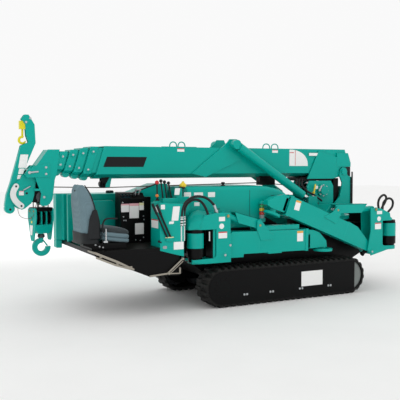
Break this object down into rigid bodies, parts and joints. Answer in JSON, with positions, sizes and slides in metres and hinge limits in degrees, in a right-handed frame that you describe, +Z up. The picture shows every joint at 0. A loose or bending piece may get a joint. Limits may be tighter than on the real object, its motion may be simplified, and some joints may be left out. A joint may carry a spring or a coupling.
{
  "type": "crawler crane",
  "caption": "Mini crawler crane stowed for travel: telescopic boom on a slewing post, folding outriggers, rubber tracks, seat with controls and a hanging hook block.",
  "frame": {"origin": "on the ground, under the middle of the machine's overall box", "axes": "+X towards the machine's front, +Y to its left, +Z up"},
  "size_m": [4.331, 1.28, 1.895],
  "materials": {
    "green_paint": "gloss",
    "black_paint": "satin",
    "track_rubber": "matt",
    "bare_steel": "turned",
    "grey_steel": "rough",
    "seat_fabric": "woven",
    "yellow_paint": "gloss",
    "lamp_plastic": "moulded",
    "black_plastic": "moulded"
  },
  "bodies": {
    "chassis": {"track_right": "track_rubber", "running_gear_right": "grey_steel", "track_frame_right": "black_paint", "track_left": "track_rubber", "running_gear_left": "grey_steel", "track_frame_left": "black_paint", "main_frame": "black_paint", "operator_deck": "black_paint", "folding_step": "bare_steel", "hood": "green_paint", "engine_block": "grey_steel", "control_cabinet": "green_paint", "valve_box": "green_paint", "console": "black_paint", "control_levers": "black_plastic", "seat_base": "black_paint", "seat_cushion": "seat_fabric", "seat_back": "seat_fabric", "tank_cover": "green_paint", "stack_lamp": "lamp_plastic"},
    "rotary_front_right": {"rotary_front_right": "green_paint"},
    "arm_front_right": {"arm_front_right": "green_paint"},
    "inner_front_right": {"inner_front_right": "green_paint"},
    "barrel_front_right": {"barrel_front_right": "green_paint"},
    "rod_front_right": {"rod_front_right": "bare_steel"},
    "rotary_front_left": {"rotary_front_left": "green_paint"},
    "arm_front_left": {"arm_front_left": "green_paint"},
    "inner_front_left": {"inner_front_left": "green_paint"},
    "barrel_front_left": {"barrel_front_left": "green_paint"},
    "rod_front_left": {"rod_front_left": "bare_steel"},
    "rotary_rear_right": {"rotary_rear_right": "green_paint"},
    "arm_rear_right": {"arm_rear_right": "green_paint"},
    "inner_rear_right": {"inner_rear_right": "green_paint"},
    "barrel_rear_right": {"barrel_rear_right": "green_paint"},
    "rod_rear_right": {"rod_rear_right": "bare_steel"},
    "rotary_rear_left": {"rotary_rear_left": "green_paint"},
    "arm_rear_left": {"arm_rear_left": "green_paint"},
    "inner_rear_left": {"inner_rear_left": "green_paint"},
    "barrel_rear_left": {"barrel_rear_left": "green_paint"},
    "rod_rear_left": {"rod_rear_left": "bare_steel"},
    "slewing_post": {"slewing_post": "green_paint", "winch_frame": "green_paint"},
    "winch_drum": {"winch_drum": "bare_steel"},
    "boom_base": {"boom_base": "green_paint"},
    "boom_section_2": {"boom_section_2": "green_paint"},
    "boom_section_3": {"boom_section_3": "green_paint"},
    "boom_section_4": {"boom_section_4": "green_paint"},
    "boom_section_5": {"boom_section_5": "green_paint"},
    "luff_barrels": {"luff_barrels": "green_paint"},
    "luff_rods": {"luff_rods": "bare_steel"},
    "hook_block": {"hook_block": "green_paint"},
    "load_hook": {"load_hook": "green_paint"},
    "searcher_arm": {"searcher_arm": "green_paint"}
  },
  "joints": [
    {"name": "swing_front_right", "type": "hinge", "parent": "chassis", "child": "rotary_front_right", "pos_m": [2.0805, -0.53, 0.69], "axis": [0, 0, 1], "range_deg": [0, 120]},
    {"name": "lower_front_right", "type": "hinge", "parent": "rotary_front_right", "child": "arm_front_right", "pos_m": [1.7585, -0.53, 0.445], "axis": [0, -1, 0], "range_deg": [0, 38]},
    {"name": "extend_front_right", "type": "slide", "parent": "arm_front_right", "child": "inner_front_right", "axis": [-0.9171, 0, 0.3987], "range_m": [0, 0.5]},
    {"name": "barrel_pivot_front_right", "type": "hinge", "parent": "rotary_front_right", "child": "barrel_front_right", "pos_m": [1.8085, -0.53, 0.922], "axis": [0, -1, 0], "range_deg": [0, 29.04]},
    {"name": "rod_slide_front_right", "type": "slide", "parent": "barrel_front_right", "child": "rod_front_right", "axis": [-0.9999, 0, 0.0153], "range_m": [0, 0.29556]},
    {"name": "swing_front_left", "type": "hinge", "parent": "chassis", "child": "rotary_front_left", "pos_m": [2.0805, 0.53, 0.69], "axis": [0, 0, -1], "range_deg": [0, 120]},
    {"name": "lower_front_left", "type": "hinge", "parent": "rotary_front_left", "child": "arm_front_left", "pos_m": [1.7585, 0.53, 0.445], "axis": [0, -1, 0], "range_deg": [0, 38]},
    {"name": "extend_front_left", "type": "slide", "parent": "arm_front_left", "child": "inner_front_left", "axis": [-0.9171, 0, 0.3987], "range_m": [0, 0.5]},
    {"name": "barrel_pivot_front_left", "type": "hinge", "parent": "rotary_front_left", "child": "barrel_front_left", "pos_m": [1.8085, 0.53, 0.922], "axis": [0, -1, 0], "range_deg": [0, 29.04]},
    {"name": "rod_slide_front_left", "type": "slide", "parent": "barrel_front_left", "child": "rod_front_left", "axis": [-0.9999, 0, 0.0153], "range_m": [0, 0.29556]},
    {"name": "swing_rear_right", "type": "hinge", "parent": "chassis", "child": "rotary_rear_right", "pos_m": [-0.4395, -0.53, 0.69], "axis": [0, 0, -1], "range_deg": [0, 120]},
    {"name": "lower_rear_right", "type": "hinge", "parent": "rotary_rear_right", "child": "arm_rear_right", "pos_m": [-0.1515, -0.53, 0.529], "axis": [0, 1, 0], "range_deg": [0, 23]},
    {"name": "extend_rear_right", "type": "slide", "parent": "arm_rear_right", "child": "inner_rear_right", "axis": [0.9976, 0, 0.0698], "range_m": [0, 0.5]},
    {"name": "barrel_pivot_rear_right", "type": "hinge", "parent": "rotary_rear_right", "child": "barrel_rear_right", "pos_m": [-0.1195, -0.53, 0.917], "axis": [0, 1, 0], "range_deg": [0, 16.82]},
    {"name": "rod_slide_rear_right", "type": "slide", "parent": "barrel_rear_right", "child": "rod_rear_right", "axis": [0.9617, 0, -0.2741], "range_m": [0, 0.14696]},
    {"name": "swing_rear_left", "type": "hinge", "parent": "chassis", "child": "rotary_rear_left", "pos_m": [-0.4395, 0.53, 0.69], "axis": [0, 0, 1], "range_deg": [0, 120]},
    {"name": "lower_rear_left", "type": "hinge", "parent": "rotary_rear_left", "child": "arm_rear_left", "pos_m": [-0.1515, 0.53, 0.529], "axis": [0, 1, 0], "range_deg": [0, 23]},
    {"name": "extend_rear_left", "type": "slide", "parent": "arm_rear_left", "child": "inner_rear_left", "axis": [0.9976, 0, 0.0698], "range_m": [0, 0.5]},
    {"name": "barrel_pivot_rear_left", "type": "hinge", "parent": "rotary_rear_left", "child": "barrel_rear_left", "pos_m": [-0.1195, 0.53, 0.917], "axis": [0, 1, 0], "range_deg": [0, 16.82]},
    {"name": "rod_slide_rear_left", "type": "slide", "parent": "barrel_rear_left", "child": "rod_rear_left", "axis": [0.9617, 0, -0.2741], "range_m": [0, 0.14696]},
    {"name": "slew", "type": "hinge", "parent": "chassis", "child": "slewing_post", "pos_m": [1.4305, 0, 0.8], "axis": [0, 0, 1], "continuous": true},
    {"name": "winch_turn", "type": "hinge", "parent": "slewing_post", "child": "winch_drum", "pos_m": [1.4155, 0, 1.13], "axis": [0, 1, 0], "continuous": true},
    {"name": "luff", "type": "hinge", "parent": "slewing_post", "child": "boom_base", "pos_m": [1.7155, 0, 1.345], "axis": [0, 1, 0], "range_deg": [0, 78]},
    {"name": "extend_2", "type": "slide", "parent": "boom_base", "child": "boom_section_2", "axis": [-1, 0, 0], "range_m": [0, 2.195]},
    {"name": "extend_3", "type": "slide", "parent": "boom_section_2", "child": "boom_section_3", "axis": [-1, 0, 0], "range_m": [0, 2.195]},
    {"name": "extend_4", "type": "slide", "parent": "boom_section_3", "child": "boom_section_4", "axis": [-1, 0, 0], "range_m": [0, 2.195]},
    {"name": "extend_5", "type": "slide", "parent": "boom_section_4", "child": "boom_section_5", "axis": [-1, 0, 0], "range_m": [0, 2.195]},
    {"name": "luff_barrel_pivot", "type": "hinge", "parent": "boom_base", "child": "luff_barrels", "pos_m": [0.2055, 0, 1.64], "axis": [0, 1, 0], "range_deg": [-2.07, 0.01]},
    {"name": "luff_rod_slide", "type": "slide", "parent": "luff_barrels", "child": "luff_rods", "axis": [0.8438, 0, -0.5366], "range_m": [0, 0.77683]},
    {"name": "block_hang", "type": "hinge", "parent": "boom_section_5", "child": "hook_block", "pos_m": [-1.8145, 0, 1.12], "axis": [0, 1, 0], "range_deg": [-78, 0]},
    {"name": "hook_swivel", "type": "hinge", "parent": "hook_block", "child": "load_hook", "pos_m": [-1.8245, 0, 0.74], "axis": [0, 0, 1], "continuous": true},
    {"name": "searcher_fold", "type": "hinge", "parent": "boom_section_5", "child": "searcher_arm", "pos_m": [-2.1215, 0, 1.03], "axis": [0, 1, 0], "range_deg": [-90, 0]}
  ],
  "couplings": [
    {"joint": "lower_front_right", "follows": "swing_front_right", "ratio": 0.31666},
    {"joint": "extend_front_right", "follows": "swing_front_right", "m_per_rad": 0.23873},
    {"joint": "barrel_pivot_front_right", "follows": "swing_front_right", "ratio": 0.24192},
    {"joint": "rod_slide_front_right", "follows": "swing_front_right", "m_per_rad": 0.14088},
    {"joint": "lower_front_left", "follows": "swing_front_left", "ratio": 0.31666},
    {"joint": "extend_front_left", "follows": "swing_front_left", "m_per_rad": 0.23873},
    {"joint": "barrel_pivot_front_left", "follows": "swing_front_left", "ratio": 0.24192},
    {"joint": "rod_slide_front_left", "follows": "swing_front_left", "m_per_rad": 0.14088},
    {"joint": "lower_rear_right", "follows": "swing_rear_right", "ratio": 0.19167},
    {"joint": "extend_rear_right", "follows": "swing_rear_right", "m_per_rad": 0.23873},
    {"joint": "barrel_pivot_rear_right", "follows": "swing_rear_right", "ratio": 0.14006},
    {"joint": "rod_slide_rear_right", "follows": "swing_rear_right", "m_per_rad": 0.069928},
    {"joint": "lower_rear_left", "follows": "swing_rear_left", "ratio": 0.19167},
    {"joint": "extend_rear_left", "follows": "swing_rear_left", "m_per_rad": 0.23873},
    {"joint": "barrel_pivot_rear_left", "follows": "swing_rear_left", "ratio": 0.14006},
    {"joint": "rod_slide_rear_left", "follows": "swing_rear_left", "m_per_rad": 0.069928},
    {"joint": "extend_4", "follows": "extend_3", "ratio": 1},
    {"joint": "extend_5", "follows": "extend_3", "ratio": 1},
    {"joint": "luff_barrel_pivot", "follows": "luff", "ratio": -0.026443},
    {"joint": "luff_rod_slide", "follows": "luff", "m_per_rad": 0.57026},
    {"joint": "block_hang", "follows": "luff", "ratio": -1}
  ]
}
